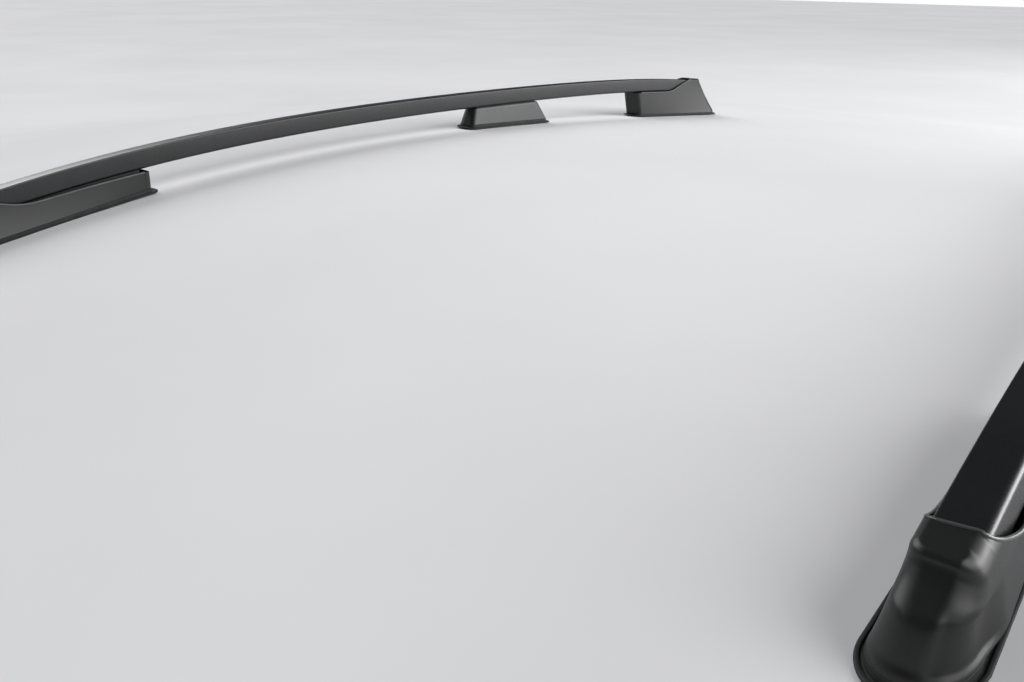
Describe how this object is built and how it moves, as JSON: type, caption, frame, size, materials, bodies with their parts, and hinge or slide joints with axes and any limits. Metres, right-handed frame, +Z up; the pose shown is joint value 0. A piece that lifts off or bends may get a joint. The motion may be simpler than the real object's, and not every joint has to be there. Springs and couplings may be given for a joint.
{
  "type": "raised roof side rail pair",
  "caption": "Pair of arched raised roof side rails on front, middle and rear feet, for clamping crossbars or ski carriers to a car roof.",
  "frame": {"origin": "on the centre plane between the rails, halfway along the arch, level with the toes of the front pads", "axes": "+X towards the car's left, +Y towards its rear, +Z up"},
  "size_m": [1.276, 1.858, 0.1351],
  "materials": {
    "powder_coated_bar": "satin black powder coat on bent aluminium tube",
    "moulded_cover": "satin black moulded, very fine grain",
    "epdm_rubber": "matt black rubber",
    "die_cast_bracket": "as-cast, lightly blasted",
    "zinc_plated_steel": "clear zinc plate"
  },
  "bodies": {
    "rack": {"left_front_pad": "epdm_rubber", "left_front_bracket": "die_cast_bracket", "left_front_bar_screw": "zinc_plated_steel", "left_front_end_plate": "moulded_cover", "left_front_roof_stud_1": "zinc_plated_steel", "left_front_roof_nut_1": "zinc_plated_steel", "left_front_roof_stud_2": "zinc_plated_steel", "left_front_roof_nut_2": "zinc_plated_steel", "left_middle_pad": "epdm_rubber", "left_middle_bracket": "die_cast_bracket", "left_middle_cover": "moulded_cover", "left_middle_bar_screw": "zinc_plated_steel", "left_middle_channel_nut": "zinc_plated_steel", "left_middle_roof_stud_1": "zinc_plated_steel", "left_middle_roof_nut_1": "zinc_plated_steel", "left_middle_roof_stud_2": "zinc_plated_steel", "left_middle_roof_nut_2": "zinc_plated_steel", "left_rear_pad": "epdm_rubber", "left_rear_bracket": "die_cast_bracket", "left_rear_bar_screw": "zinc_plated_steel", "left_rear_end_plate": "moulded_cover", "left_rear_roof_stud_1": "zinc_plated_steel", "left_rear_roof_nut_1": "zinc_plated_steel", "left_rear_roof_stud_2": "zinc_plated_steel", "left_rear_roof_nut_2": "zinc_plated_steel", "left_bar": "powder_coated_bar", "right_front_pad": "epdm_rubber", "right_front_bracket": "die_cast_bracket", "right_front_bar_screw": "zinc_plated_steel", "right_front_end_plate": "moulded_cover", "right_front_roof_stud_1": "zinc_plated_steel", "right_front_roof_nut_1": "zinc_plated_steel", "right_front_roof_stud_2": "zinc_plated_steel", "right_front_roof_nut_2": "zinc_plated_steel", "right_middle_pad": "epdm_rubber", "right_middle_bracket": "die_cast_bracket", "right_middle_cover": "moulded_cover", "right_middle_bar_screw": "zinc_plated_steel", "right_middle_channel_nut": "zinc_plated_steel", "right_middle_roof_stud_1": "zinc_plated_steel", "right_middle_roof_nut_1": "zinc_plated_steel", "right_middle_roof_stud_2": "zinc_plated_steel", "right_middle_roof_nut_2": "zinc_plated_steel", "right_rear_pad": "epdm_rubber", "right_rear_bracket": "die_cast_bracket", "right_rear_bar_screw": "zinc_plated_steel", "right_rear_end_plate": "moulded_cover", "right_rear_roof_stud_1": "zinc_plated_steel", "right_rear_roof_nut_1": "zinc_plated_steel", "right_rear_roof_stud_2": "zinc_plated_steel", "right_rear_roof_nut_2": "zinc_plated_steel", "right_bar": "powder_coated_bar"},
    "left_front_cover": {"left_front_cover": "moulded_cover"},
    "left_rear_cover": {"left_rear_cover": "moulded_cover"},
    "right_front_cover": {"right_front_cover": "moulded_cover"},
    "right_rear_cover": {"right_rear_cover": "moulded_cover"}
  },
  "joints": [
    {"name": "left_front_cover_slide", "type": "slide", "parent": "rack", "child": "left_front_cover", "axis": [0.0337, -0.9889, -0.1446], "range_m": [0, 0.3]},
    {"name": "left_rear_cover_slide", "type": "slide", "parent": "rack", "child": "left_rear_cover", "axis": [-0.0339, 0.9969, -0.0705], "range_m": [0, 0.34]},
    {"name": "right_front_cover_slide", "type": "slide", "parent": "rack", "child": "right_front_cover", "axis": [-0.0337, -0.9889, -0.1446], "range_m": [0, 0.3]},
    {"name": "right_rear_cover_slide", "type": "slide", "parent": "rack", "child": "right_rear_cover", "axis": [0.0339, 0.9969, -0.0705], "range_m": [0, 0.34]}
  ]
}
